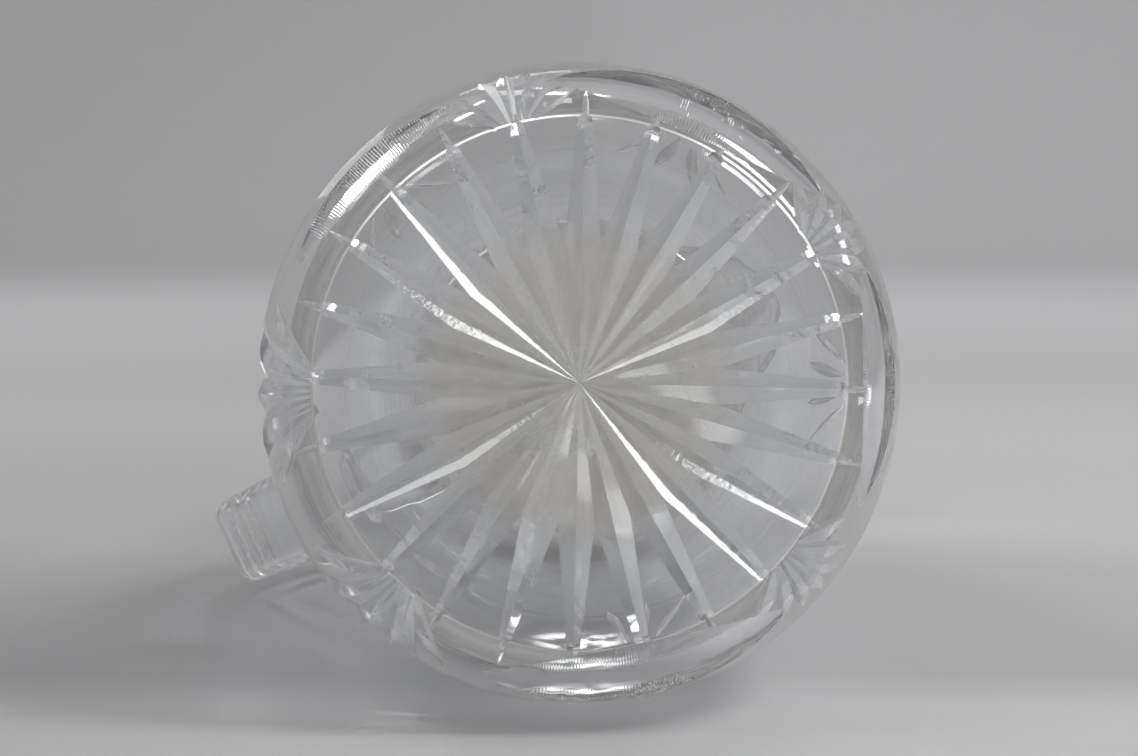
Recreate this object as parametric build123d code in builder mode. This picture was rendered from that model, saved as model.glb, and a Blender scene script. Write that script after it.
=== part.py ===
from build123d import *
from math import atan2, cos, radians, sin, sqrt, tan
import os

# Cut crystal pitcher with a plated neck mount and a hinged, domed lid. All sizes are in mm.
# The origin is the centre of the foot on the glass axis, and +Z is up. The spout points
# along +X. The handle and the lid hinge are on the -X side. Azimuths are in degrees from +X.

os.makedirs("parts", exist_ok=True)

# Glass body
foot_radius = 53.2
foot_bevel = 0.5
belly_radius = 67.5
belly_height = 28.0
shoulder_curve = 190.0
neck_radius = 40.0
neck_height = 165.0
rim_height = 196.0
rim_rounding = 1.2
wall = 5.5
floor_thickness = 15.0
floor_corner = 16.0

# Star cut into the foot
ray_count = 24
ray_turn = -3.7
ray_depth = 4.9
ray_reach = 67.6
ray_spread = 52.0
nick_depth = 0.8
nick_height = 5.6

# Crescent notches cut into the heel: azimuth, and distance of the wall from the axis
notch_places = ((-111.3, 57.8), (-41.0, 54.4), (25.0, 57.0), (103.0, 53.3))
notch_keel_height = 9.8
notch_shelf_rise = 32.0
notch_length = 90.0

# Straight mitre cuts: fans between the notches, and palms on the belly above them
cutter_height = 8.0
mitre_spread = 42.0
fan_azimuths = (-79.0, -5.0, 65.0)
fan_hub_height = 2.0
fan_tip_height = 16.0
fan_offsets = (-13.5, -9.0, -4.5, 0.0, 4.5, 9.0, 13.5)
fan_gathering = 0.3
fan_drop = 0.05
fan_spread = 55.0
palm_bottom = 33.0
palm_top = 90.0
palm_offsets = (-15.0, -5.0, 5.0, 15.0)
palm_drop = 0.9
palm_gathering = 0.3

# Broad fans on both sides of the handle, with arched keels
broad_fan_azimuths = (157.0, 203.0)
broad_fan_tip_height = 38.0
broad_fan_offsets = (-15.0, -9.0, -3.0, 3.0, 9.0, 15.0)
broad_fan_drop = 0.09
broad_fan_depth = 1.7
broad_fan_spread = 62.0

# Flutes round the neck
flute_count = 12
flute_depth = 1.8
flute_crown = 45.0
flute_wheel = 100.0
flute_wheel_turn = 20.0
flute_turn_height = 172.0

# Glass handle
handle_width = 22.0
handle_thickness = 11.0
handle_rounding = 4.0
handle_root = (-39.0, 149.0)
handle_crest = (-79.0, 163.0)
handle_back = (-95.5, 128.0)
handle_foot = (-61.0, 58.0)
handle_crest_bend = 20.0
handle_back_bend = 32.0
handle_notch_count = 9
handle_notch_start = 0.30
handle_notch_step = 0.055
handle_notch_depth = 1.6
handle_notch_spread = 50.0

# Neck mount
cement_gap = 0.8
cement_inset = 1.0
cement_bite = 0.4
collar_wall = 1.4
collar_skirt = 18.0
collar_rise = 14.0
moulding_height = 3.2
moulding_swell = 1.5

# Pouring spout
spout_root = 30.0
spout_tip = 68.0
spout_root_half_width = 26.0
spout_root_depth = 15.5
spout_tip_half_width = 5.0
spout_tip_depth = 6.0
spout_wall = 1.4

# Hinge
hinge_gap = 5.3
hinge_rise = 1.2
knuckle_radius = 3.2
pin_radius = 1.25
pin_clearance = 0.06
lid_knuckle_half = 3.8
knuckle_gap = 0.3
hinge_half_length = 9.0
pin_head_radius = 2.1
pin_head_length = 1.2
leaf_thickness = 1.4
bracket_leaf_length = 20.0
bracket_leaf_spread = 28.0

# Lid
lid_lift = 0.3
lid_sheet = 1.2
lid_overhang = 1.3
dome_radius = 36.0
dome_height = 19.5
dome_flat_radius = 6.5
dome_step_height = 3.0
dome_step_width = 4.0
dome_beading = 2.0
beak_margin = 1.6
liner_radius = 39.6
liner_thickness = 0.9
bezel_depth = 6.0
bezel_wall = 1.2
thumb_width = 13.0
thumb_root_width = 7.2
thumb_height = 21.0
thumb_lean = 5.5
thumb_thickness = 2.2

# Finial
finial_seat_radius = 6.0
finial_seat_thickness = 1.6
finial_height = 24.0
finial_ball_radius = 7.5
finial_stem_radius = 3.0
finial_foot_radius = 5.2
finial_foot_edge = 1.2
finial_waist_height = 4.5
finial_neck_swell = 1.2
stud_radius = 1.5
stud_bite = 9.0
nut_across = 6.0
nut_height = 2.4

# Values that follow from the sizes above
bevel_radius = foot_radius + foot_bevel
heel_inset = belly_radius - bevel_radius
heel_rise = belly_height - foot_bevel
heel_curve = (heel_inset**2 + heel_rise**2) / (2 * heel_inset)
shoulder_rise = neck_height - belly_height
shoulder_turn = 2 * atan2(belly_radius - neck_radius, shoulder_rise)
hollow_curve = shoulder_rise / sin(shoulder_turn) - shoulder_curve
collar_bore = neck_radius + cement_gap
collar_radius = collar_bore + collar_wall
collar_bottom = rim_height - collar_skirt
collar_top = rim_height + collar_rise
bracket_leaf_bottom = collar_top - bracket_leaf_length
lid_bottom = collar_top + lid_lift
lid_top = lid_bottom + lid_sheet
lid_radius = collar_radius + lid_overhang
dome_top = lid_bottom + dome_height + lid_sheet
hinge_x = -(collar_radius + hinge_gap)
hinge_z = collar_top + hinge_rise
liner_bottom = lid_bottom - liner_thickness
finial_bottom = dome_top + finial_seat_thickness


def turn_height(inset):
    """Height at which the bulging shoulder passes into the hollow neck curve."""
    return belly_height + (shoulder_curve - inset) * sin(shoulder_turn)


def glass_radius(height, inset=0.0):
    """Radius of the plain glass at a height, or of a surface set in from it."""
    if height <= belly_height:
        depth = belly_height - height
        return belly_radius - heel_curve + sqrt((heel_curve - inset) ** 2 - depth**2)
    if height <= turn_height(inset):
        rise = height - belly_height
        return belly_radius - shoulder_curve + sqrt((shoulder_curve - inset) ** 2 - rise**2)
    if height < neck_height:
        drop = neck_height - height
        return neck_radius + hollow_curve - sqrt((hollow_curve + inset) ** 2 - drop**2)
    return neck_radius - inset


def glass_arc(low, high, inset=0.0):
    """Arc of the glass profile between two heights, drawn on the XZ plane."""
    middle = (low + high) / 2
    return ThreePointArc(
        (glass_radius(low, inset), low),
        (glass_radius(middle, inset), middle),
        (glass_radius(high, inset), high),
    )


def glass_spot(azimuth, height):
    """Point on the outside of the plain glass."""
    radius = glass_radius(height)
    return Vector(radius * cos(radians(azimuth)), radius * sin(radians(azimuth)), height)


def mitre_cutter(start, end, opening, spread, height):
    """Prism of V section whose keel runs from start to end and which opens along opening."""
    run = end - start
    section = Plane(origin=start, x_dir=opening.cross(run), z_dir=run)
    half_width = height * tan(radians(spread))
    with BuildPart() as cutter:
        with BuildSketch(section):
            with BuildLine():
                Polyline((0, 0), (half_width, height), (-half_width, height), close=True)
            make_face()
        extrude(amount=run.length)
    return cutter.part


def surface_mitre(azimuth_1, height_1, azimuth_2, height_2, spread):
    """Straight mitre that enters and leaves the plain glass at two spots."""
    start = glass_spot(azimuth_1, height_1)
    end = glass_spot(azimuth_2, height_2)
    middle = (start + end) / 2
    run = (end - start).normalized()
    outward = Vector(middle.X, middle.Y, 0)
    opening = outward - run * outward.dot(run)
    return mitre_cutter(start, end, opening, spread, cutter_height)


def arched_mitre(azimuth_1, height_1, azimuth_2, height_2, depth, spread):
    """Mitre that follows the round of the plain glass, with a depth at its middle."""
    start = glass_spot(azimuth_1, height_1)
    end = glass_spot(azimuth_2, height_2)
    surface = glass_spot((azimuth_1 + azimuth_2) / 2, (height_1 + height_2) / 2)
    chord = (end - start).normalized()
    outward = surface - (start + end) / 2
    outward = (outward - chord * outward.dot(chord)).normalized()
    half_width = cutter_height * tan(radians(spread))
    with BuildPart() as cutter:
        with BuildLine() as keel:
            ThreePointArc(start, surface - outward * depth, end)
        run = keel.wire() % 0
        with BuildSketch(Plane(origin=start, x_dir=outward.cross(chord), z_dir=run)):
            with BuildLine():
                Polyline((0, 0), (half_width, cutter_height), (-half_width, cutter_height),
                         close=True)
            make_face()
        sweep()
    return cutter.part


def disc_ring(outer, inner, bottom, top):
    """Plain ring about the glass axis."""
    with BuildPart() as ring:
        with BuildSketch(Plane.XY.offset(bottom)):
            Circle(outer)
            Circle(inner, mode=Mode.SUBTRACT)
        extrude(amount=top - bottom)
    return ring.part


# Plain glass outside, used for the body and to trim the handle to it
with BuildPart() as glass_blank:
    with BuildSketch(Plane.XZ):
        with BuildLine():
            Polyline((neck_radius, rim_height), (0, rim_height), (0, 0), (foot_radius, 0),
                     (bevel_radius, foot_bevel))
            glass_arc(foot_bevel, belly_height)
            glass_arc(belly_height, turn_height(0))
            glass_arc(turn_height(0), neck_height)
            Line((neck_radius, neck_height), (neck_radius, rim_height))
        make_face()
    revolve(axis=Axis.Z)

# Hollow inside of the glass
corner_top = floor_thickness + floor_corner
corner_radius = glass_radius(corner_top, wall)
above_rim = rim_height + wall
with BuildPart() as glass_hollow:
    with BuildSketch(Plane.XZ):
        with BuildLine():
            Polyline((neck_radius - wall, neck_height), (neck_radius - wall, above_rim),
                     (0, above_rim), (0, floor_thickness),
                     (corner_radius - floor_corner, floor_thickness))
            RadiusArc((corner_radius - floor_corner, floor_thickness),
                      (corner_radius, corner_top), -floor_corner)
            glass_arc(corner_top, turn_height(wall), wall)
            glass_arc(turn_height(wall), neck_height, wall)
        make_face()
    revolve(axis=Axis.Z)

# One ray of the star: a long straight mitre that grows shallower outwards, and the nick
# that carries it over the bevel and up the heel
ray_groove = mitre_cutter(Vector(0, 0, ray_depth), Vector(ray_reach, 0, 0),
                          Vector(0, 0, -1), ray_spread, cutter_height)
sector_width = ray_reach * tan(radians(180 / ray_count))
with BuildPart() as ray_cutter:
    add(ray_groove)
    with BuildSketch(Plane.XY.offset(-cutter_height)):
        Polygon((0, 0), (ray_reach, -sector_width), (ray_reach, sector_width), align=None)
    extrude(amount=cutter_height * 2, mode=Mode.INTERSECT)
nick_foot = Vector(foot_radius, 0, nick_depth)
nick_tip = glass_spot(0, nick_height)
nick_run = nick_tip - nick_foot
nick_cutter = mitre_cutter(nick_foot, nick_tip, Vector(nick_run.Z, 0, -nick_run.X),
                           ray_spread, cutter_height)



def notch_cutter(wall_distance):
    """Crescent notch: an upright wall, and a shelf that rises outwards from its top."""
    outside = belly_radius + wall
    shelf_top = notch_keel_height + (outside - wall_distance) * tan(radians(notch_shelf_rise))
    with BuildPart() as cutter:
        with BuildSketch(Plane.XZ):
            Polygon((wall_distance, -foot_bevel), (wall_distance, notch_keel_height),
                    (outside, shelf_top), (outside, -foot_bevel), align=None)
        extrude(amount=notch_length / 2, both=True)
    return cutter.part


# Flute: a crowned wheel that dips into the neck and runs out below it
flute_keel = neck_radius - flute_depth
with BuildPart() as flute_cutter:
    with BuildSketch(Plane.XY.offset(flute_turn_height)) as flute_section:
        with Locations((flute_keel + flute_crown, 0)):
            Circle(flute_crown)
        with Locations((flute_keel + flute_crown, 0)):
            Rectangle(flute_crown * 2, flute_crown * 2, align=(Align.MIN, Align.CENTER),
                      mode=Mode.SUBTRACT)
    extrude(amount=rim_height - flute_turn_height + wall)
    wheel_axis = Axis((flute_keel + flute_wheel, 0, flute_turn_height), (0, 1, 0))
    revolve(flute_section.sketch, axis=wheel_axis, revolution_arc=-flute_wheel_turn)

mitres = []
for azimuth in fan_azimuths:
    for offset in fan_offsets:
        mitres.append(surface_mitre(azimuth + offset * fan_gathering, fan_hub_height,
                                    azimuth + offset, fan_tip_height - fan_drop * offset**2,
                                    fan_spread))
for azimuth in broad_fan_azimuths:
    for offset in broad_fan_offsets:
        mitres.append(arched_mitre(azimuth + offset * fan_gathering, fan_hub_height,
                                   azimuth + offset,
                                   broad_fan_tip_height - broad_fan_drop * offset**2,
                                   broad_fan_depth, broad_fan_spread))
for azimuth, wall_distance in notch_places:
    for offset in palm_offsets:
        mitres.append(surface_mitre(azimuth + offset * palm_gathering, palm_bottom,
                                    azimuth + offset, palm_top - palm_drop * abs(offset),
                                    mitre_spread))

with BuildPart() as glass_body:
    add(glass_blank.part)
    add(glass_hollow.part, mode=Mode.SUBTRACT)
    rim_edges = glass_body.edges().filter_by(GeomType.CIRCLE).group_by(Axis.Z)[-1]
    fillet(rim_edges, rim_rounding)
    for azimuth, wall_distance in notch_places:
        add(notch_cutter(wall_distance), rotation=(0, 0, azimuth), mode=Mode.SUBTRACT)
    with PolarLocations(0, ray_count, start_angle=ray_turn):
        add(ray_cutter.part, mode=Mode.SUBTRACT)
    with PolarLocations(0, ray_count, start_angle=ray_turn):
        add(nick_cutter, mode=Mode.SUBTRACT)
    with PolarLocations(0, flute_count, start_angle=180 / flute_count):
        add(flute_cutter.part, mode=Mode.SUBTRACT)
    add(mitres, mode=Mode.SUBTRACT)
glass_body.part.label = "glass_body"
export_step(glass_body.part, "parts/glass_body.step")

# Handle drawn along its own centre line, then trimmed to the glass it is pressed onto
with BuildPart() as glass_handle:
    with BuildLine(Plane.XZ) as handle_line:
        FilletPolyline(handle_root, handle_crest, handle_back, handle_foot,
                       radius=[handle_crest_bend, handle_back_bend])
    handle_start = handle_line.wire()
    with BuildSketch(Plane(origin=handle_start @ 0, x_dir=(0, 1, 0), z_dir=handle_start % 0)):
        RectangleRounded(handle_width, handle_thickness, handle_rounding)
    sweep()
    add(glass_blank.part, mode=Mode.SUBTRACT)
    handle_length = handle_start.length
    for number in range(handle_notch_count):
        share = handle_notch_start + handle_notch_step * number
        spot = handle_start @ share
        along = handle_start % share
        back = Vector(0, 1, 0).cross(along)
        keel = spot + back * (handle_thickness / 2 - handle_notch_depth)
        across = Vector(0, handle_width, 0)
        add(mitre_cutter(keel - across, keel + across, back, handle_notch_spread,
                         cutter_height), mode=Mode.SUBTRACT)
glass_handle.part.label = "glass_handle"
export_step(glass_handle.part, "parts/glass_handle.step")

# Bed of plaster that holds the collar on the glass neck
cement_bottom = collar_bottom + cement_inset
cement_top = rim_height - cement_inset
with BuildPart() as neck_cement:
    add(disc_ring(collar_bore, neck_radius - flute_depth - cement_bite, cement_bottom,
                  cement_top))
    add(glass_body.part, mode=Mode.SUBTRACT)
neck_cement.part.label = "neck_cement"
export_step(neck_cement.part, "parts/neck_cement.step")


def spout_trough(inset, height_above):
    """Solid that tapers from the mouth to the spout's tip, set in by a sheet's thickness."""
    with BuildPart() as trough:
        for x, half_width, depth in (
            (spout_root, spout_root_half_width, spout_root_depth),
            (spout_tip, spout_tip_half_width, spout_tip_depth),
        ):
            with BuildSketch(Plane(origin=(x, 0, collar_top), x_dir=(0, 1, 0), z_dir=(1, 0, 0))):
                Ellipse(half_width - inset, depth - inset)
                with Locations((0, height_above)):
                    Rectangle(half_width * 2, depth * 2, align=(Align.CENTER, Align.MIN),
                              mode=Mode.SUBTRACT)
        loft(ruled=True)
    return trough.part


trough_outside = spout_trough(0, 0)
trough_inside = spout_trough(spout_wall, 0)

# Collar sleeve, open at the front where the spout leaves it
with BuildPart() as neck_collar:
    add(disc_ring(collar_radius, collar_bore, collar_bottom, collar_top))
    add(trough_inside, mode=Mode.SUBTRACT)
neck_collar.part.label = "neck_collar"
export_step(neck_collar.part, "parts/neck_collar.step")

# Spout: the open trough outside the collar
with BuildPart() as pouring_spout:
    add(trough_outside)
    add(trough_inside, mode=Mode.SUBTRACT)
    with BuildSketch(Plane.XY.offset(collar_bottom)):
        Circle(collar_radius)
    extrude(amount=collar_top, mode=Mode.SUBTRACT)
pouring_spout.part.label = "pouring_spout"
export_step(pouring_spout.part, "parts/pouring_spout.step")


def half_round(bottom, top, inner, swell):
    """Ring of D section that swells outwards from a cylinder."""
    with BuildPart() as ring:
        with BuildSketch(Plane.XZ):
            with BuildLine():
                ThreePointArc((inner, bottom), (inner + swell, (bottom + top) / 2), (inner, top))
                Line((inner, top), (inner, bottom))
            make_face()
        revolve(axis=Axis.Z)
    return ring.part


# Beaded wire round the collar's lower edge
with BuildPart() as collar_beading:
    add(half_round(collar_bottom, collar_bottom + moulding_height, collar_radius, moulding_swell))
collar_beading.part.label = "collar_beading"
export_step(collar_beading.part, "parts/collar_beading.step")

# Bracket on the back of the collar, with the two fixed knuckles of the hinge
bracket_leaf_top = collar_top - knuckle_gap * 1.5
web_bottom = hinge_z - knuckle_radius * 2.4
fixed_knuckle_start = lid_knuckle_half + knuckle_gap
fixed_knuckle_length = hinge_half_length - fixed_knuckle_start
knuckle_centres = [side * (fixed_knuckle_start + fixed_knuckle_length / 2) for side in (-1, 1)]
with BuildPart() as hinge_bracket:
    with BuildSketch(Plane.XY.offset(bracket_leaf_bottom)):
        Circle(collar_radius + leaf_thickness)
        Circle(collar_radius, mode=Mode.SUBTRACT)
        reach = collar_radius * 1.5
        half_angle = radians(bracket_leaf_spread / 2)
        Polygon((0, 0), (-reach, -reach * tan(half_angle)), (-reach, reach * tan(half_angle)),
                align=None, mode=Mode.INTERSECT)
    extrude(amount=bracket_leaf_top - bracket_leaf_bottom)
    for centre in knuckle_centres:
        with BuildSketch(Plane.XZ.offset(-centre)):
            with Locations((hinge_x, hinge_z)):
                Circle(knuckle_radius)
            Polygon((-collar_radius, web_bottom), (-collar_radius, bracket_leaf_top),
                    (hinge_x, bracket_leaf_top), (hinge_x - knuckle_radius * 0.8, hinge_z - 1),
                    align=None)
        extrude(amount=fixed_knuckle_length / 2, both=True)
    with BuildSketch(Plane.XY.offset(web_bottom)):
        Circle(collar_radius)
    extrude(amount=collar_top - web_bottom, mode=Mode.SUBTRACT)
    with BuildSketch(Plane.XZ):
        with Locations((hinge_x, hinge_z)):
            Circle(pin_radius)
    extrude(amount=hinge_half_length * 2, both=True, mode=Mode.SUBTRACT)
hinge_bracket.part.label = "hinge_bracket"
export_step(hinge_bracket.part, "parts/hinge_bracket.step")

with BuildPart() as hinge_pin:
    with BuildSketch(Plane.XZ):
        with Locations((hinge_x, hinge_z)):
            Circle(pin_radius)
    extrude(amount=hinge_half_length, both=True)
hinge_pin.part.label = "hinge_pin"
export_step(hinge_pin.part, "parts/hinge_pin.step")

# Turned heads on both ends of the pin
with BuildPart() as pin_heads:
    for side in (-1, 1):
        with BuildSketch(Plane(origin=(hinge_x, side * hinge_half_length, hinge_z),
                               x_dir=(1, 0, 0), z_dir=(0, side, 0))):
            Circle(pin_head_radius)
        extrude(amount=pin_head_length)
    outer_rims = pin_heads.edges().filter_by(GeomType.CIRCLE).group_by(Axis.Y)
    fillet(outer_rims[0] + outer_rims[-1], pin_head_length / 2)
pin_heads.part.label = "pin_heads"
export_step(pin_heads.part, "parts/pin_heads.step")

# Moulding under the lid's seat, interrupted by the spout and the hinge bracket
moulding_gap = leaf_thickness * 2
with BuildPart() as collar_moulding:
    add(half_round(collar_top - moulding_height, collar_top, collar_radius, moulding_swell * 0.6))
    with BuildSketch(Plane.XY.offset(collar_bottom)):
        Polygon((0, 0), (-reach, -reach * tan(half_angle) - moulding_gap),
                (-reach, reach * tan(half_angle) + moulding_gap), align=None)
        with Locations((spout_root, 0)):
            Rectangle(spout_tip, spout_root_half_width * 2, align=(Align.MIN, Align.CENTER))
    extrude(amount=collar_top, mode=Mode.SUBTRACT)
collar_moulding.part.label = "collar_moulding"
export_step(collar_moulding.part, "parts/collar_moulding.step")

# Lid: a flange that reaches over the spout, with a raised dome of sheet metal
dome_base = dome_radius - lid_sheet
step_radius = dome_radius - dome_step_width
beak_root = spout_root_half_width + beak_margin
beak_tip = spout_tip_half_width + beak_margin
with BuildPart() as lid_shell:
    with BuildSketch(Plane.XY.offset(lid_bottom)):
        Circle(lid_radius)
        Polygon((spout_root, -beak_root), (spout_tip + beak_margin, -beak_tip),
                (spout_tip + beak_margin, beak_tip), (spout_root, beak_root), align=None)
    extrude(amount=lid_sheet)
    corners = lid_shell.edges().filter_by(Axis.Z).group_by(Axis.X)[-1]
    fillet(corners, spout_tip_half_width)
    with BuildSketch(Plane.XZ):
        with BuildLine():
            crown = TangentArc((dome_flat_radius, dome_top), (step_radius, lid_top + dome_step_height),
                               tangent=(1, 0))
            Polyline(crown @ 1, (dome_radius, lid_top), (dome_radius, lid_bottom),
                     (0, lid_bottom), (0, dome_top), crown @ 0)
        make_face()
    revolve(axis=Axis.Z)
    with BuildSketch(Plane.XZ):
        with BuildLine():
            hollow = TangentArc((dome_flat_radius, dome_top - lid_sheet),
                                (step_radius - lid_sheet, lid_top + dome_step_height - lid_sheet / 2),
                                tangent=(1, 0))
            Polyline(hollow @ 1, (dome_base, lid_top - lid_sheet / 2), (dome_base, lid_bottom),
                     (0, lid_bottom), (0, dome_top - lid_sheet), hollow @ 0)
        make_face()
    revolve(axis=Axis.Z, mode=Mode.SUBTRACT)
    with BuildSketch(Plane.XY.offset(lid_bottom)):
        Circle(stud_radius)
    extrude(amount=dome_height * 2, mode=Mode.SUBTRACT)
lid_shell.part.label = "lid_shell"
export_step(lid_shell.part, "parts/lid_shell.step")

# Beading round the foot of the dome
with BuildPart() as dome_beading_ring:
    add(half_round(lid_top, lid_top + dome_beading, dome_radius, dome_beading * 0.5))
dome_beading_ring.part.label = "dome_beading"
export_step(dome_beading_ring.part, "parts/dome_beading.step")

# Gilt liner that closes the dome from below, and the bezel that drops into the collar
with BuildPart() as lid_liner:
    with BuildSketch(Plane.XY.offset(liner_bottom)):
        Circle(liner_radius)
    extrude(amount=liner_thickness)
lid_liner.part.label = "lid_liner"
export_step(lid_liner.part, "parts/lid_liner.step")

with BuildPart() as lid_bezel:
    add(disc_ring(liner_radius, liner_radius - bezel_wall, liner_bottom - bezel_depth,
                  liner_bottom))
lid_bezel.part.label = "lid_bezel"
export_step(lid_bezel.part, "parts/lid_bezel.step")

# Lid leaf: soldered to the flange, with the middle knuckle round the pin
leaf_front = -(dome_radius + dome_beading)
leaf_top = lid_top + leaf_thickness
with BuildPart() as lid_leaf:
    with BuildSketch(Plane.XY.offset(lid_top)):
        Polygon((leaf_front, -hinge_half_length), (leaf_front, hinge_half_length),
                (-collar_radius, hinge_half_length), (-collar_radius, lid_knuckle_half),
                (hinge_x, lid_knuckle_half), (hinge_x, -lid_knuckle_half),
                (-collar_radius, -lid_knuckle_half), (-collar_radius, -hinge_half_length),
                align=None)
    extrude(amount=leaf_thickness)
    with BuildSketch(Plane.XZ):
        with Locations((hinge_x, hinge_z)):
            Circle(knuckle_radius)
    extrude(amount=lid_knuckle_half, both=True)
    with BuildSketch(Plane.XY.offset(lid_bottom - knuckle_radius)):
        Circle(lid_radius)
    extrude(amount=lid_top - lid_bottom + knuckle_radius, mode=Mode.SUBTRACT)
    with BuildSketch(Plane.XZ):
        with Locations((hinge_x, hinge_z)):
            Circle(pin_radius + pin_clearance)
    extrude(amount=lid_knuckle_half * 2, both=True, mode=Mode.SUBTRACT)
    with BuildSketch(Plane.XY.offset(lid_top)):
        Circle(dome_radius + dome_beading * 0.5)
    extrude(amount=dome_beading, mode=Mode.SUBTRACT)
lid_leaf.part.label = "lid_leaf"
export_step(lid_leaf.part, "parts/lid_leaf.step")

# Thumb-piece: a billet that curls up and back from the leaf
thumb_front = hinge_x + thumb_thickness * 1.4
thumb_top = leaf_top + thumb_height
with BuildPart() as thumb_piece:
    with BuildSketch(Plane.XZ):
        with BuildLine():
            front = ThreePointArc((thumb_front, leaf_top),
                                  (thumb_front - thumb_lean * 0.15, leaf_top + thumb_height * 0.5),
                                  (thumb_front - thumb_lean, thumb_top))
            back = ThreePointArc((thumb_front - thumb_lean - thumb_thickness, thumb_top),
                                 (thumb_front - thumb_thickness - thumb_lean * 0.15,
                                  leaf_top + thumb_height * 0.5),
                                 (thumb_front - thumb_thickness, leaf_top))
            Line(front @ 1, back @ 0)
            Line(back @ 1, front @ 0)
        make_face()
    extrude(amount=thumb_width / 2, both=True)
    shield_plane = Plane(origin=(thumb_front + thumb_thickness, 0, leaf_top),
                         x_dir=(0, 1, 0), z_dir=(-1, 0, 0))
    with BuildSketch(shield_plane):
        with BuildLine():
            root = thumb_root_width / 2
            Spline((root, 0), (thumb_width / 2, -thumb_height * 0.62), (0, -thumb_height),
                   tangents=((0, -1), (-1, 0)))
            Spline((0, -thumb_height), (-thumb_width / 2, -thumb_height * 0.62), (-root, 0),
                   tangents=((-1, 0), (0, 1)))
            Line((-root, 0), (root, 0))
        make_face()
    extrude(amount=thumb_lean + thumb_thickness * 3, mode=Mode.INTERSECT)
    with BuildSketch(Plane.XZ):
        with Locations((hinge_x, hinge_z)):
            Circle(knuckle_radius)
    extrude(amount=thumb_width, both=True, mode=Mode.SUBTRACT)
thumb_piece.part.label = "thumb_piece"
export_step(thumb_piece.part, "parts/thumb_piece.step")

# Finial and the stud and nut that hold it to the dome
with BuildPart() as finial_seat:
    add(disc_ring(finial_seat_radius, stud_radius, dome_top, finial_bottom))
    top_edges = finial_seat.edges().filter_by(GeomType.CIRCLE).group_by(Axis.Z)[-1]
    fillet(top_edges.sort_by(SortBy.RADIUS)[-1], finial_seat_thickness / 2)
finial_seat.part.label = "finial_seat"
export_step(finial_seat.part, "parts/finial_seat.step")

ball_height = finial_bottom + finial_height - finial_ball_radius
ball_seat_radius = finial_stem_radius + finial_neck_swell
ball_seat = ball_height - sqrt(finial_ball_radius**2 - ball_seat_radius**2)
with BuildPart() as finial:
    with BuildSketch(Plane.XZ):
        with BuildLine():
            waist = ThreePointArc((finial_foot_radius, finial_bottom + finial_foot_edge),
                                  (finial_stem_radius, finial_bottom + finial_waist_height),
                                  (ball_seat_radius, ball_seat))
            ThreePointArc(waist @ 1, (finial_ball_radius, ball_height),
                          (0, ball_height + finial_ball_radius))
            Polyline((0, ball_height + finial_ball_radius), (0, finial_bottom),
                     (finial_foot_radius, finial_bottom), waist @ 0)
        make_face()
    revolve(axis=Axis.Z)
    with BuildSketch(Plane.XY.offset(finial_bottom)):
        Circle(stud_radius)
    extrude(amount=stud_bite, mode=Mode.SUBTRACT)
finial.part.label = "finial"
export_step(finial.part, "parts/finial.step")

nut_top = dome_top - lid_sheet
stud_bottom = nut_top - nut_height * 1.4
with BuildPart() as finial_stud:
    with BuildSketch(Plane.XY.offset(stud_bottom)):
        Circle(stud_radius)
    extrude(amount=finial_bottom + stud_bite - stud_bottom)
finial_stud.part.label = "finial_stud"
export_step(finial_stud.part, "parts/finial_stud.step")

with BuildPart() as finial_nut:
    with BuildSketch(Plane.XY.offset(nut_top - nut_height)):
        RegularPolygon(nut_across / 2, 6, major_radius=False)
        Circle(stud_radius, mode=Mode.SUBTRACT)
    extrude(amount=nut_height)
finial_nut.part.label = "finial_nut"
export_step(finial_nut.part, "parts/finial_nut.step")
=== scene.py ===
"""Looks of the cut crystal pitcher: cut glass, plated mount, lid, stage, light and camera.

Sizes are in millimetres and become metres where a mesh, material or lamp is made. The glass axis
is Z, the foot stands in the plane Z = 0, the spout points along +X and the handle along -X.
Azimuths are in degrees from +X.
"""
from math import atan2, cos, hypot, pi, radians, sin, sqrt, tan

import bmesh
import bpy
from mathutils import Matrix, Vector


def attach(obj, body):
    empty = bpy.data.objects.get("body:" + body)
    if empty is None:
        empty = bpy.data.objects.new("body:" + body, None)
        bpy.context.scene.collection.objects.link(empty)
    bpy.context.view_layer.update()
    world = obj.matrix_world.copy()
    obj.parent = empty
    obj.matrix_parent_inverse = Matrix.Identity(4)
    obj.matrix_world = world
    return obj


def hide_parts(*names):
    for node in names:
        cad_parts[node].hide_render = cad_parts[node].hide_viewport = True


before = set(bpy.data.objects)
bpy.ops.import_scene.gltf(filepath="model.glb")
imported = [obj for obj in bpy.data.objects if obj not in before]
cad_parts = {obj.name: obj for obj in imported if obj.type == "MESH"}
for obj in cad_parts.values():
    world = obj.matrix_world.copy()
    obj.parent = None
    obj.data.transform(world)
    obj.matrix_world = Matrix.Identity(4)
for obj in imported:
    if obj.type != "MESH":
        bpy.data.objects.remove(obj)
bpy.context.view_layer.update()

MM = 0.001

# Glass body, as in the frame
foot_radius = 53.2
foot_bevel = 0.5
belly_radius = 67.5
belly_height = 28.0
shoulder_curve = 190.0
neck_radius = 40.0
neck_height = 165.0
rim_height = 196.0
rim_rounding = 1.2
wall = 5.5
floor_thickness = 15.0
floor_corner = 16.0

# Fineness of the turned glass
lathe_segments = 480
heel_steps = 30
belly_steps = 90
neck_steps = 16
rim_steps = 6
corner_steps = 20
floor_steps = 12
smooth_angle = 14.0

# Star
ray_count = 24
ray_turn = -3.7
ray_depth = 4.9
ray_reach = 67.6
ray_spread = 52.0
nick_depth = 0.8
nick_height = 5.6

# Crescent notches: azimuth, and distance of the wall from the axis
notch_places = ((-111.3, 57.8), (-41.0, 54.4), (25.0, 57.0), (103.0, 53.3))
notch_keel_height = 9.8
notch_shelf_rise = 32.0
notch_length = 90.0

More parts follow.
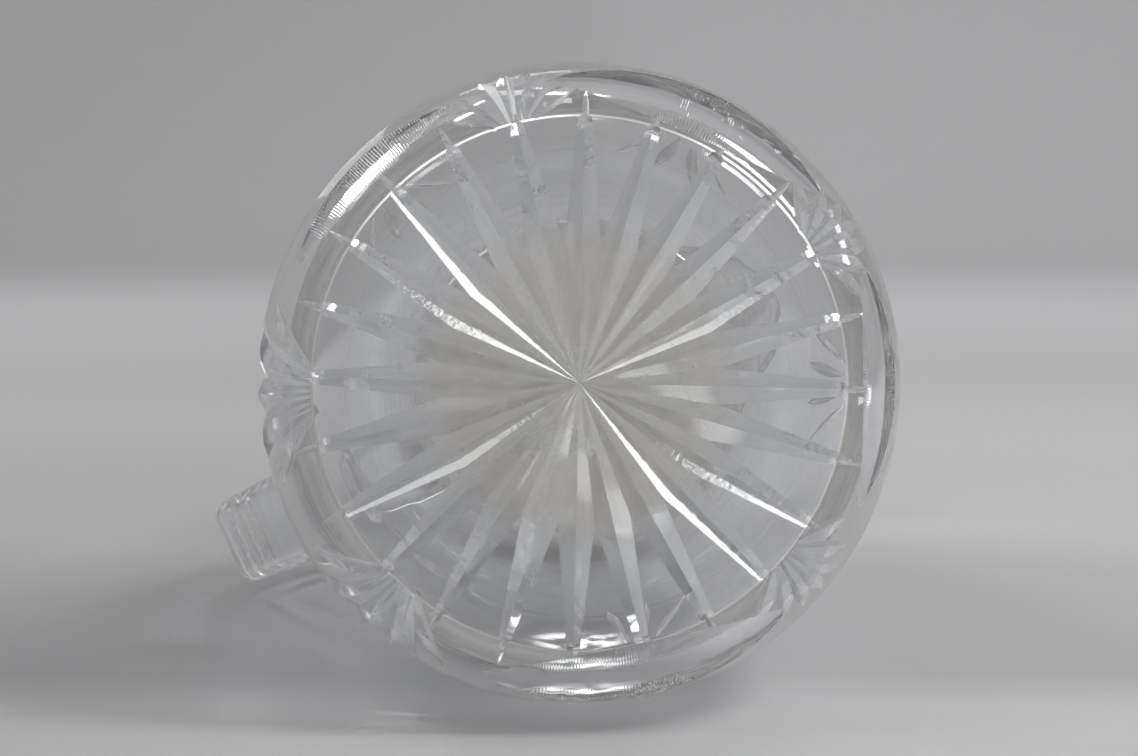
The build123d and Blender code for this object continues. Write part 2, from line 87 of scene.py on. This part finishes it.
# Fans between the notches, and palms on the belly above them
cutter_height = 8.0
groove_steps = 24
fan_azimuths = (-79.0, -5.0, 65.0)
fan_hub_height = 0.6
fan_hub_depth = 0.35
fan_depth = 0.8
fan_tip_height = 16.0
fan_offsets = (-13.5, -9.0, -4.5, 0.0, 4.5, 9.0, 13.5)
fan_gathering = 0.3
fan_drop = 0.05
fan_spread = 66.0
palm_bottom = 33.0
palm_top = 90.0
palm_offsets = (-15.0, -5.0, 5.0, 15.0)
palm_drop = 0.9
palm_gathering = 0.3
palm_spread = 42.0

# Broad fans on both sides of the handle: offset of the tip, its height, and the depth
broad_fan_azimuths = (157.0, 203.0)
broad_fan_blades = ((-17.0, 13.0, 0.7), (-12.7, 30.0, 1.3), (-8.5, 16.0, 0.7), (-4.3, 38.0, 1.5),
                    (0.0, 16.0, 0.7), (4.3, 38.0, 1.5), (8.5, 16.0, 0.7), (12.7, 30.0, 1.3),
                    (17.0, 13.0, 0.7))

# Neck flutes
flute_count = 12
flute_depth = 1.8
flute_crown = 45.0
flute_wheel = 100.0
flute_wheel_turn = 20.0
flute_turn_height = 172.0
flute_half_width = 14.0
flute_run_steps = 10
flute_rise_steps = 6
flute_width_steps = 24

# Glass. The matt palms and the metal-like gloss of the foot's ground bevel are guesses
glass_colour = (0.985, 0.99, 0.995, 1)
glass_index = 1.545
handle_roughness = 0.09
palm_roughness = 0.3
satin_roughness = 0.05
ground_colour = (0.86, 0.86, 0.86, 1)
ground_gloss = 0.8
ground_roughness = 0.33

# Metal and plaster
silver_colour = (0.78, 0.78, 0.78, 1)
silver_roughness = 0.22
gilt_colour = (0.76, 0.745, 0.715, 1)
gilt_roughness = 0.30
steel_colour = (0.60, 0.60, 0.58, 1)
steel_roughness = 0.35
plaster_colour = (0.72, 0.72, 0.70, 1)
plaster_roughness = 0.9

# Uneven surfaces: fineness of the pattern, its strength and its depth
pattern_detail = 4.0
satin_bump = (900.0, 0.10, 0.4)
ground_bump = (400.0, 0.1, 0.3)
metal_bump = (90.0, 0.05, 0.5)
plaster_bump = (300.0, 0.3, 0.5)

# Streaks in the fans
streaks_per_radian = 90.0
streak_depth = 0.06
streak_roughness = 0.08
streak_detail = 3.0

# Wheel marks in the notches, which wander in patches, and the coarser chatter of the wheel
deep_marks = 0.032
fine_marks = 0.013
marks_per_radian = 620.0
marks_wander = 16.0
marks_patches = 110.0
marks_detail = 3.0
chatter_share = 5.0
chatter_grain = 260.0
chatter_detail = 1.0

# Film of lime on the inside: a warm patch in the middle of the floor, and a thin rest. It is a
# guess for the warm disc in the photograph
haze_inner_radius = 26.0
haze_outer_radius = 46.0
haze_strength = 0.36
haze_rest = 0.06
haze_top = 150.0
haze_colour = (0.77, 0.70, 0.57, 1)
haze_tint_end = 37.0
film_colour = (0.78, 0.78, 0.80, 1)
haze_grain = 70.0
haze_detail = 5.0
haze_grain_range = (0.3, 0.7)
haze_share_range = (0.75, 1.25)

# Table and sweep: the table passes under the belly and rises away from the camera
table_drop = 67.6
table_start = 28.0
table_slope = radians(7.4)
sweep_half_width = 1500.0
sweep_near = -420.0
sweep_far = 1150.0
sweep_bend = 350.0
sweep_bend_steps = 24
sweep_rise = 900.0

# Glowing, flecked spot on the table, hidden from the camera behind the belly. It imitates light
# that glass gathers, and was set by trial for the lower notch, so the floor isn't plain
gathered_place = 12.5
gathered_reach = 13.5
gathered_light = 3.6
gathered_grain = 170.0
gathered_detail = 2.0
gathered_flecks = (0.42, 0.62)

# Greys of the paper from near to far, which hold painted light and shade: a painted shadow band
# just behind the belly, painted light farther off, and a painted lift of light on the picture's
# right.
# They were fitted by comparing the rendered background with the photograph's, so the tone isn't
# plain
paper_near = -100.0
paper_far = 1600.0
paper_painted_light_and_shade = ((0.0, 0.46), (0.072, 0.48), (0.092, 0.38), (0.13, 0.39), (0.2, 0.48),
               (0.35, 0.56), (0.6, 0.76), (0.8, 0.68), (1.0, 0.67))
paper_left = -20.0
paper_right = 70.0
paper_painted_light_lift = 1.28
paper_painted_light_lift_far = 1.1
paper_painted_light_lift_end = 700.0
paper_blueness = 1.012

# World light, brighter from the picture's top and from the camera's side
world_colour = (0.99, 0.99, 1.0, 1)
world_lean = 0.4
world_dim = 0.265
world_bright = 0.435

# Lamps: clock angle in the picture, distance from the axis, height along it, width, depth and
# radiance. All face this height on the axis. They were placed by trial for the highlights
lamp_aim_height = 20.0
lamps = {
    "softbox_left": (-32, 600, -120, 120, 140, 6.0),
    "softbox_right": (42, 1100, -200, 400, 270, 15.0),
    "overhead": (-12, 700, 40, 260, 60, 6.0),
    "upper_left": (-46, 900, 400, 260, 560, 3.0),
    "side_strip": (95, 900, 100, 70, 200, 6.0),
}

# Camera: it looks along the glass axis at the foot, with the handle at the lower left
camera_distance = 480.0
focal_pixels = 2408.0
photo_width = 1138
photo_height = 756
star_centre_pixel = (579.3, 383.2)
sensor_width = 36.0
picture_up_azimuth = -65.0

# Values that follow
bevel_radius = foot_radius + foot_bevel
heel_inset = belly_radius - bevel_radius
heel_rise = belly_height - foot_bevel
heel_curve = (heel_inset**2 + heel_rise**2) / (2 * heel_inset)
shoulder_rise = neck_height - belly_height
shoulder_turn = 2 * atan2(belly_radius - neck_radius, shoulder_rise)
hollow_curve = shoulder_rise / sin(shoulder_turn) - shoulder_curve
picture_up = Vector((cos(radians(picture_up_azimuth)), sin(radians(picture_up_azimuth)), 0))
picture_right = Vector((-picture_up.y, picture_up.x, 0))


# Shader nodes


def feed(tree, socket, value):
    """Gives a socket a constant or the output of another node."""
    if isinstance(value, bpy.types.NodeSocket):
        tree.links.new(value, socket)
    else:
        socket.default_value = value


def new_node(tree, kind, operation=None):
    node = tree.nodes.new("ShaderNode" + kind)
    if operation:
        node.operation = operation
    return node


def arithmetic(tree, operation, *values):
    node = new_node(tree, "Math", operation)
    for socket, value in zip(node.inputs, values):
        feed(tree, socket, value)
    return node.outputs["Value"]


def vector_arithmetic(tree, operation, first, second=None):
    node = new_node(tree, "VectorMath", operation)
    feed(tree, node.inputs[0], first)
    if second is not None:
        feed(tree, node.inputs["Scale" if operation == "SCALE" else 1], second)
    gives_number = operation in ("DOT_PRODUCT", "LENGTH", "DISTANCE")
    return node.outputs["Value" if gives_number else "Vector"]


def map_range(tree, value, low, high, to_low=0.0, to_high=1.0, smooth=False):
    """Output that runs from to_low to to_high while the value runs from low to high."""
    node = new_node(tree, "MapRange")
    if smooth:
        node.interpolation_type = "SMOOTHSTEP"
    for name, given in (("Value", value), ("From Min", low), ("From Max", high),
                        ("To Min", to_low), ("To Max", to_high)):
        feed(tree, node.inputs[name], given)
    return node.outputs["Result"]


def noise_pattern(tree, place, scale, detail):
    node = new_node(tree, "TexNoise")
    feed(tree, node.inputs["Scale"], scale)
    feed(tree, node.inputs["Detail"], detail)
    feed(tree, node.inputs["Vector"], place)
    return node.outputs["Fac"]


def object_place(tree):
    """Output with the place in object space."""
    return new_node(tree, "TexCoord").outputs["Object"]


def split_place(tree, place):
    node = new_node(tree, "SeparateXYZ")
    feed(tree, node.inputs[0], place)
    return node.outputs


def across_axis(tree, place):
    """Output with the place flattened onto the plane of the foot."""
    return vector_arithmetic(tree, "MULTIPLY", place, (1, 1, 0))


def add_bump(tree, principled, height, depth, strength=1.0):
    node = new_node(tree, "Bump")
    feed(tree, node.inputs["Strength"], strength)
    feed(tree, node.inputs["Distance"], depth * MM)
    feed(tree, node.inputs["Height"], height)
    feed(tree, principled.inputs["Normal"], node.outputs["Normal"])


def add_noise_bump(tree, principled, scale, strength, depth):
    height = noise_pattern(tree, object_place(tree), scale, pattern_detail)
    add_bump(tree, principled, height, depth, strength)


def mix_shaders(tree, share, first, second, out):
    """Sends a mix of two shaders to the material's output."""
    node = new_node(tree, "MixShader")
    for socket, value in zip(node.inputs, (share, first, second)):
        feed(tree, socket, value)
    feed(tree, out.inputs["Surface"], node.outputs["Shader"])


# Materials


def principled_material(name, colour, roughness, metallic=0.0):
    """New material with its node tree and Principled shader."""
    material = bpy.data.materials.new(name)
    material.use_nodes = True
    tree = material.node_tree
    principled = tree.nodes["Principled BSDF"]
    principled.inputs["Base Color"].default_value = colour
    principled.inputs["Roughness"].default_value = roughness
    principled.inputs["Metallic"].default_value = metallic
    return material, tree, principled


def glass_material(name, roughness):
    material, tree, principled = principled_material(name, glass_colour, roughness)
    principled.inputs["Transmission Weight"].default_value = 1.0
    principled.inputs["IOR"].default_value = glass_index
    return material, tree, principled


def bumpy_material(name, colour, roughness, metallic, bump):
    material, tree, principled = principled_material(name, colour, roughness, metallic)
    add_noise_bump(tree, principled, *bump)
    return material


def satin_material(name):
    material, tree, principled = glass_material(name, satin_roughness)
    add_noise_bump(tree, principled, *satin_bump)
    return material


def wheel_marked_material(name, mark_depth):
    """Polished glass with the fine ridges that a wheel leaves across a cut, in patches."""
    material, tree, principled = glass_material(name, 0.0)
    place = object_place(tree)
    parts = split_place(tree, place)
    azimuth = arithmetic(tree, "ARCTAN2", parts["Y"], parts["X"])
    phase = arithmetic(tree, "MULTIPLY", azimuth, marks_per_radian)
    patches = noise_pattern(tree, place, marks_patches, marks_detail)
    wander = arithmetic(tree, "MULTIPLY_ADD", patches, marks_wander, phase)
    ridges = arithmetic(tree, "MULTIPLY", arithmetic(tree, "SINE", wander), patches)
    chatter = noise_pattern(tree, place, chatter_grain, chatter_detail)
    height = arithmetic(tree, "MULTIPLY_ADD", chatter, chatter_share, ridges)
    add_bump(tree, principled, height, mark_depth)
    return material


def streaked_material(name):
    """Finely ground glass with streaks that run out from the axis."""
    material, tree, principled = glass_material(name, streak_roughness)
    direction = vector_arithmetic(tree, "NORMALIZE", across_axis(tree, object_place(tree)))
    streaks = noise_pattern(tree, direction, streaks_per_radian, streak_detail)
    add_bump(tree, principled, streaks, streak_depth)
    return material


def hazed_material(name):
    """Polished glass with a warm, uneven film of lime that thins out away from the axis."""
    material, tree, principled = glass_material(name, 0.0)
    place = object_place(tree)
    radius = vector_arithmetic(tree, "LENGTH", across_axis(tree, place))
    fade = map_range(tree, radius, haze_inner_radius * MM, haze_outer_radius * MM,
                     haze_strength, haze_rest, smooth=True)
    patches = noise_pattern(tree, place, haze_grain, haze_detail)
    vary = map_range(tree, patches, *haze_grain_range, *haze_share_range)
    share = arithmetic(tree, "MULTIPLY", fade, vary)
    warmth = map_range(tree, radius, haze_tint_end * MM, haze_inner_radius * MM, smooth=True)
    tint = new_node(tree, "Mix")
    tint.data_type = "RGBA"
    feed(tree, tint.inputs["A"], film_colour)
    feed(tree, tint.inputs["B"], haze_colour)
    feed(tree, tint.inputs["Factor"], warmth)
    film = new_node(tree, "BsdfTranslucent")
    feed(tree, film.inputs["Color"], tint.outputs["Result"])
    mix_shaders(tree, share, principled.outputs["BSDF"], film.outputs["BSDF"],
                tree.nodes["Material Output"])
    return material


crystal_polished = glass_material("crystal_polished", 0.0)[0]
crystal_handle = glass_material("crystal_handle", handle_roughness)[0]
crystal_matt = glass_material("crystal_matt", palm_roughness)[0]
crystal_satin = satin_material("crystal_satin")
crystal_hazed = hazed_material("crystal_hazed")
crystal_marked = wheel_marked_material("crystal_marked", deep_marks)
crystal_fine = wheel_marked_material("crystal_fine", fine_marks)
crystal_ground = bumpy_material("crystal_ground", ground_colour, ground_roughness, ground_gloss,
                                ground_bump)
crystal_streaked = streaked_material("crystal_streaked")
silver_plate = bumpy_material("silver_plate", silver_colour, silver_roughness, 1.0, metal_bump)
gilt_lining = bumpy_material("gilt_lining", gilt_colour, gilt_roughness, 1.0, metal_bump)
pin_metal = bumpy_material("pin_steel", steel_colour, steel_roughness, 1.0, metal_bump)
plaster = bumpy_material("plaster", plaster_colour, plaster_roughness, 0.0, plaster_bump)
notch_finishes = (crystal_marked, crystal_fine, crystal_fine, crystal_marked)


# Meshes


def steps(low, high, count):
    return [low + (high - low) * i / count for i in range(count + 1)]


def object_from(name, mesh, material):
    """Blender object from a bmesh drawn in millimetres."""
    bmesh.ops.scale(mesh, vec=(MM, MM, MM), verts=mesh.verts)
    data = bpy.data.meshes.new(name)
    mesh.to_mesh(data)
    mesh.free()
    data.materials.append(material)
    made = bpy.data.objects.new(name, data)
    bpy.context.scene.collection.objects.link(made)
    return made


def tube_from(name, outlines, material):
    """Closed mesh through outlines with as many points each."""
    mesh = bmesh.new()
    rows = [[mesh.verts.new(point) for point in outline] for outline in outlines]
    mesh.faces.new(rows[0])
    mesh.faces.new(rows[-1])
    for lower, upper in zip(rows, rows[1:]):
        for i in range(len(lower)):
            j = (i + 1) % len(lower)
            mesh.faces.new((lower[i], lower[j], upper[j], upper[i]))
    bmesh.ops.recalc_face_normals(mesh, faces=mesh.faces)
    return object_from(name, mesh, material)


def lathe(name, profile, material):
    """Closed mesh turned about Z from points (radius, height) that start and end on the axis."""
    mesh = bmesh.new()
    rings = []
    for radius, height in profile:
        if radius == 0:
            rings.append([mesh.verts.new((0, 0, height))])
            continue
        angles = [2 * pi * i / lathe_segments for i in range(lathe_segments)]
        rings.append([mesh.verts.new((radius * cos(a), radius * sin(a), height)) for a in angles])
    for lower, upper in zip(rings, rings[1:]):
        for i in range(lathe_segments):
            j = (i + 1) % lathe_segments
            if len(lower) == 1:
                mesh.faces.new((lower[0], upper[j], upper[i]))
            elif len(upper) == 1:
                mesh.faces.new((lower[i], lower[j], upper[0]))
            else:
                mesh.faces.new((lower[i], lower[j], upper[j], upper[i]))
    bmesh.ops.recalc_face_normals(mesh, faces=mesh.faces)
    return object_from(name, mesh, material)


def turned(made, azimuth):
    """Turns an object's mesh about the glass axis."""
    made.data.transform(Matrix.Rotation(radians(azimuth), 4, "Z"))
    return made


def cut(target, cutters):
    """Cuts several objects out of the target, and deletes them."""
    group = bpy.data.collections.new("cutters")
    bpy.context.scene.collection.children.link(group)
    for cutter in cutters:
        for holder in list(cutter.users_collection):
            holder.objects.unlink(cutter)
        group.objects.link(cutter)
    change = target.modifiers.new("cut", "BOOLEAN")
    change.operation = "DIFFERENCE"
    change.operand_type = "COLLECTION"
    change.collection = group
    change.solver = "MANIFOLD"
    change.material_mode = "TRANSFER"
    graph = bpy.context.evaluated_depsgraph_get()
    graph.update()
    data = bpy.data.meshes.new_from_object(target.evaluated_get(graph),
                                           preserve_all_data_layers=True, depsgraph=graph)
    old = target.data
    target.modifiers.clear()
    target.data = data
    bpy.data.meshes.remove(old)
    for cutter in cutters:
        bpy.data.meshes.remove(cutter.data)
    bpy.data.collections.remove(group)


# Plain glass


def turn_height(inset):
    return belly_height + (shoulder_curve - inset) * sin(shoulder_turn)


def glass_radius(height, inset=0.0):
    """Radius of the plain glass at a height, or of a surface set in from it."""
    if height <= belly_height:
        depth = belly_height - height
        return belly_radius - heel_curve + sqrt((heel_curve - inset) ** 2 - depth**2)
    if height <= turn_height(inset):
        rise = height - belly_height
        return belly_radius - shoulder_curve + sqrt((shoulder_curve - inset) ** 2 - rise**2)
    if height < neck_height:
        drop = neck_height - height
        return neck_radius + hollow_curve - sqrt((hollow_curve + inset) ** 2 - drop**2)
    return neck_radius - inset


def glass_spot(azimuth, height):
    radius = glass_radius(height)
    return Vector((radius * cos(radians(azimuth)), radius * sin(radians(azimuth)), height))


def glass_normal(azimuth, height):
    """Outward direction square to the plain glass, on the heel and the belly."""
    curve = heel_curve if height <= belly_height else shoulder_curve
    outward = (glass_radius(height) - belly_radius + curve) / curve
    rise = (height - belly_height) / curve
    return Vector((outward * cos(radians(azimuth)), outward * sin(radians(azimuth)), rise))


def arc(centre, radius, start, end, count):
    """Points of an arc in the profile, between two angles in degrees."""
    return [(centre[0] + radius * cos(radians(a)), centre[1] + radius * sin(radians(a)))
            for a in steps(start, end, count)]


def outside_profile():
    lip = rim_height - rim_rounding
    points = [(0, 0), (foot_radius, 0)]
    points += [(glass_radius(z), z) for z in steps(foot_bevel, belly_height, heel_steps)]
    points += [(glass_radius(z), z) for z in steps(belly_height, neck_height, belly_steps)[1:]]
    points += [(neck_radius, z) for z in steps(neck_height, lip, neck_steps)[1:]]
    points += arc((neck_radius - rim_rounding, lip), rim_rounding, 0, 90, rim_steps)[1:]
    return points


def inside_profile():
    lip = rim_height - rim_rounding
    bore = neck_radius - wall
    corner_top = floor_thickness + floor_corner
    corner_start = glass_radius(corner_top, wall) - floor_corner
    points = arc((bore + rim_rounding, lip), rim_rounding, 90, 180, rim_steps)
    points += [(bore, z) for z in steps(lip, neck_height, neck_steps)[1:]]
    points += [(glass_radius(z, wall), z) for z in steps(neck_height, corner_top, belly_steps)[1:]]
    points += arc((corner_start, corner_top), floor_corner, 0, -90, corner_steps)[1:]
    points += [(r, floor_thickness) for r in steps(corner_start, 0, floor_steps)[1:]]
    return points


# Cuts in the glass


def mitre(name, start, end, opening, spread, material):
    """V-section prism whose keel runs from start to end and which opens along opening."""
    run = (end - start).normalized()
    outward = (opening - run * opening.dot(run)).normalized()
    sideways = outward.cross(run) * cutter_height * tan(radians(spread))
    section = (Vector((0, 0, 0)), outward * cutter_height + sideways,
               outward * cutter_height - sideways)
    return tube_from(name, ([start + p for p in section], [end + p for p in section]), material)


def groove(name, azimuth_1, height_1, azimuth_2, height_2, first_depth, depth):
    """V groove that follows the plain glass, with a depth at its start and at its middle."""
    keel = []
    opening = []
    for t in steps(0, 1, groove_steps):
        azimuth = azimuth_1 + (azimuth_2 - azimuth_1) * t
        height = height_1 + (height_2 - height_1) * t
        opening.append(glass_normal(azimuth, height))
        sunk = first_depth * (1 - t) + depth * 4 * t * (1 - t)
        keel.append(glass_spot(azimuth, height) - opening[-1] * sunk)
    half_width = cutter_height * tan(radians(fan_spread))
    rows = []
    for i, (spot, away) in enumerate(zip(keel, opening)):
        along = keel[min(i + 1, len(keel) - 1)] - keel[max(i - 1, 0)]
        sideways = away.cross(along).normalized() * half_width
        rows.append((spot, spot + away * cutter_height + sideways,
                     spot + away * cutter_height - sideways))
    return tube_from(name, rows, crystal_streaked)


def star_cutters():
    made = []
    nick_foot = Vector((foot_radius, 0, nick_depth))
    nick_tip = glass_spot(0, nick_height)
    run = nick_tip - nick_foot
    opening = Vector((run.z, 0, -run.x))
    for number in range(ray_count):
        azimuth = ray_turn + number * 360 / ray_count
        made.append(turned(mitre("ray", Vector((0, 0, ray_depth)), Vector((ray_reach, 0, 0)),
                                 Vector((0, 0, -1)), ray_spread, crystal_satin), azimuth))
        made.append(turned(mitre("nick", nick_foot, nick_tip, opening, ray_spread,
                                 crystal_satin), azimuth))
    return made


def notch_cutters():
    """Blocks with an upright wall and a shelf that rises outwards from its top."""
    outside = belly_radius + wall
    below = -foot_bevel
    made = []
    for (azimuth, wall_distance), finish in zip(notch_places, notch_finishes):
        shelf_top = notch_keel_height + (outside - wall_distance) * tan(radians(notch_shelf_rise))
        outline = ((wall_distance, below), (wall_distance, notch_keel_height),
                   (outside, shelf_top), (outside, below))
        ends = [[Vector((x, y, z)) for x, z in outline]
                for y in (-notch_length / 2, notch_length / 2)]
        made.append(turned(tube_from("notch", ends, finish), azimuth))
    return made


def fan_cutters():
    made = []
    for azimuth in fan_azimuths:
        for offset in fan_offsets:
            made.append(groove("fan", azimuth + offset * fan_gathering, fan_hub_height,
                               azimuth + offset, fan_tip_height - fan_drop * offset**2,
                               fan_hub_depth, fan_depth))
    for azimuth in broad_fan_azimuths:
        for offset, tip_height, depth in broad_fan_blades:
            made.append(groove("broad_fan", azimuth + offset * fan_gathering, fan_hub_height,
                               azimuth + offset, tip_height, fan_hub_depth, depth))
    return made


def palm_cutters():
    """Straight mitres that enter and leave the plain glass at two spots."""
    made = []
    for azimuth, wall_distance in notch_places:
        for offset in palm_offsets:
            start = glass_spot(azimuth + offset * palm_gathering, palm_bottom)
            end = glass_spot(azimuth + offset, palm_top - palm_drop * abs(offset))
            middle = (start + end) / 2
            made.append(mitre("palm", start, end, Vector((middle.x, middle.y, 0)), palm_spread,
                              crystal_matt))
    return made


def flute_cutters():
    """Crowned wheel marks round the neck, which run out below into the shoulder."""
    keel = neck_radius - flute_depth
    path = [(keel + flute_wheel * (1 - cos(radians(a))),
             flute_turn_height - flute_wheel * sin(radians(a)))
            for a in steps(flute_wheel_turn, 0, flute_run_steps)]
    path += [(keel, z) for z in steps(flute_turn_height, rim_height + wall, flute_rise_steps)[1:]]
    rows = []
    for x, z in path:
        row = [(x + flute_crown - sqrt(flute_crown**2 - y**2), y, z)
               for y in steps(-flute_half_width, flute_half_width, flute_width_steps)]
        rows.append(row + [(keel + flute_crown, flute_half_width, z),
                           (keel + flute_crown, -flute_half_width, z)])
    return [turned(tube_from("flute", rows, crystal_polished),
                   180 / flute_count + number * 360 / flute_count)
            for number in range(flute_count)]


# The cut glass, which takes the place of the plain CAD body, and the looks of the other nodes

crystal = lathe("crystal_body", outside_profile() + inside_profile(), crystal_polished)
crystal.data.materials.append(crystal_hazed)
crystal.data.materials.append(crystal_ground)
for face in crystal.data.polygons:
    face_height = face.center.z / MM
    face_radius = hypot(face.center.x, face.center.y) / MM
    if 0 < face_height < foot_bevel:
        face.material_index = 2
    if (floor_thickness - wall < face_height < haze_top
            and face_radius < glass_radius(face_height, wall / 2)):
        face.material_index = 1
cut(crystal, star_cutters() + notch_cutters() + fan_cutters() + palm_cutters() + flute_cutters())
crystal.data.shade_smooth()
crystal.data.set_sharp_from_angle(angle=radians(smooth_angle))
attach(crystal, "pitcher")
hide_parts("glass_body")

node_materials = {
    "glass_handle": crystal_handle,
    "neck_cement": plaster,
    "lid_liner": gilt_lining,
    "lid_bezel": gilt_lining,
    "hinge_pin": pin_metal,
    "finial_stud": pin_metal,
    "finial_nut": pin_metal,
}
for name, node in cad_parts.items():
    node.data.materials.clear()
    node.data.materials.append(node_materials.get(name, silver_plate))


# Stage: a pale sweep along the side of the pitcher that is lowest in the picture


def table_point(sideways, along):
    """Point on the table, by its distance to the picture's right and away from the camera."""
    return (picture_right * sideways - picture_up * (table_drop - along * sin(table_slope))
            + Vector((0, 0, table_start + along * cos(table_slope))))


def sweep_stage():
    mesh = bmesh.new()
    table_up = picture_up * cos(table_slope) - Vector((0, 0, sin(table_slope)))
    table_away = (table_point(0, 1) - table_point(0, 0)).normalized()
    start = table_point(0, sweep_far)
    rows = [table_point(0, sweep_near), start]
    for a in steps(0, 90, sweep_bend_steps)[1:]:
        rows.append(start + table_away * sweep_bend * sin(radians(a))
                    + table_up * sweep_bend * (1 - cos(radians(a))))
    rows.append(rows[-1] + table_up * sweep_rise)
    verts = [[mesh.verts.new(p - picture_right * sweep_half_width),
              mesh.verts.new(p + picture_right * sweep_half_width)] for p in rows]
    for low, high in zip(verts, verts[1:]):
        mesh.faces.new((low[0], low[1], high[1], high[0]))
    made = object_from("sweep", mesh, sweep_material("sweep_paper"))
    made.data.shade_smooth()
    return made


def sweep_material(name):
    """Matt paper with painted light and shade in its greys and a glowing, flecked spot of painted
    light, shown from its front only.
    """
    material = bpy.data.materials.new(name)
    material.use_nodes = True
    tree = material.node_tree
    tree.nodes.clear()
    place = object_place(tree)
    along_axis = split_place(tree, place)["Z"]

    # Painted light and shade along the table: darker just behind the belly, where a shadow is
    # painted, and lighter farther off, where painted light falls
    painted_light_ramp = new_node(tree, "ValToRGB")
    painted_light_ramp.color_ramp.interpolation = "EASE"
    stops = painted_light_ramp.color_ramp.elements
    for spot, tone in paper_painted_light_and_shade:
        stop = stops[0] if spot == 0 else stops[-1] if spot == 1 else stops.new(spot)
        stop.color = (tone, tone, tone * paper_blueness, 1)
    feed(tree, painted_light_ramp.inputs["Fac"],
         map_range(tree, along_axis, paper_near * MM, paper_far * MM))
    # Painted light: the paper is made lighter on the picture's right, less so far off
    rightness = vector_arithmetic(tree, "DOT_PRODUCT", place, picture_right)
    full_lift = map_range(tree, along_axis, 0.0, paper_painted_light_lift_end * MM, paper_painted_light_lift, paper_painted_light_lift_far,
                          smooth=True)
    lift = map_range(tree, rightness, paper_left * MM, paper_right * MM, 1.0, full_lift,
                     smooth=True)
    paper = new_node(tree, "BsdfDiffuse")
    feed(tree, paper.inputs["Color"],
         vector_arithmetic(tree, "SCALE", painted_light_ramp.outputs["Color"], lift))

    distance = vector_arithmetic(tree, "DISTANCE", place, table_point(0, gathered_place) * MM)
    patch = map_range(tree, distance, gathered_reach * MM, 0.0, 0.0, gathered_light)
    grain = noise_pattern(tree, place, gathered_grain, gathered_detail)
    flecks = map_range(tree, grain, *gathered_flecks)
    glow = new_node(tree, "Emission")
    feed(tree, glow.inputs["Strength"], arithmetic(tree, "MULTIPLY", patch, flecks))
    lit = new_node(tree, "AddShader")
    feed(tree, lit.inputs[0], paper.outputs["BSDF"])
    feed(tree, lit.inputs[1], glow.outputs["Emission"])

    mix_shaders(tree, new_node(tree, "NewGeometry").outputs["Backfacing"],
                lit.outputs["Shader"], new_node(tree, "BsdfTransparent").outputs["BSDF"],
                new_node(tree, "OutputMaterial"))
    return material


sweep_stage()


# Light


def softbox(name, clock_angle, distance, height, width, depth, radiance):
    """Rectangular lamp that faces the glass axis, placed by its angle in the picture."""
    light = bpy.data.lights.new(name, "AREA")
    light.shape = "RECTANGLE"
    light.size = width * MM
    light.size_y = depth * MM
    light.energy = radiance * pi * light.size * light.size_y
    lamp = bpy.data.objects.new(name, light)
    bpy.context.scene.collection.objects.link(lamp)
    outward = (picture_up * cos(radians(clock_angle))
               + picture_right * sin(radians(clock_angle)))
    place = outward * distance + Vector((0, 0, height))
    lamp.location = place * MM
    aim = (Vector((0, 0, lamp_aim_height)) - place).normalized()
    point(lamp, aim, aim.cross(Vector((0, 0, 1))).normalized())


def point(made, aim, side):
    """Turns a lamp or camera so that it looks along aim, with its own X along side."""
    made.rotation_mode = "QUATERNION"
    made.rotation_quaternion = Matrix((side, side.cross(aim), -aim)).transposed().to_quaternion()


world = bpy.data.worlds.new("studio")
bpy.context.scene.world = world
world.use_nodes = True
world_tree = world.node_tree
background = world_tree.nodes["Background"]
brightest = (picture_up - Vector((0, 0, world_lean))).normalized()
towards = vector_arithmetic(world_tree, "DOT_PRODUCT",
                            new_node(world_tree, "TexCoord").outputs["Generated"], brightest)
feed(world_tree, background.inputs["Color"], world_colour)
feed(world_tree, background.inputs["Strength"],
     map_range(world_tree, towards, -1.0, 1.0, world_dim, world_bright))
for name, values in lamps.items():
    softbox(name, *values)

# Render settings and camera

scene = bpy.context.scene
scene.view_settings.view_transform = "Standard"
scene.cycles.max_bounces = 40
scene.cycles.transmission_bounces = 32
scene.cycles.glossy_bounces = 24
scene.cycles.transparent_max_bounces = 16
scene.cycles.diffuse_bounces = 3
scene.cycles.blur_glossy = 0.0

lens = bpy.data.cameras.new("camera")
lens.sensor_width = sensor_width
lens.lens = focal_pixels / photo_width * sensor_width
lens.clip_start = 0.01
camera = bpy.data.objects.new("camera", lens)
bpy.context.scene.collection.objects.link(camera)
scene.camera = camera
camera.location = Vector((0, 0, -camera_distance)) * MM
off_right = (star_centre_pixel[0] - photo_width / 2) / focal_pixels
off_down = (star_centre_pixel[1] - photo_height / 2) / focal_pixels
view = (Vector((0, 0, 1)) - picture_right * off_right + picture_up * off_down).normalized()
point(camera, view, view.cross(picture_up).normalized())
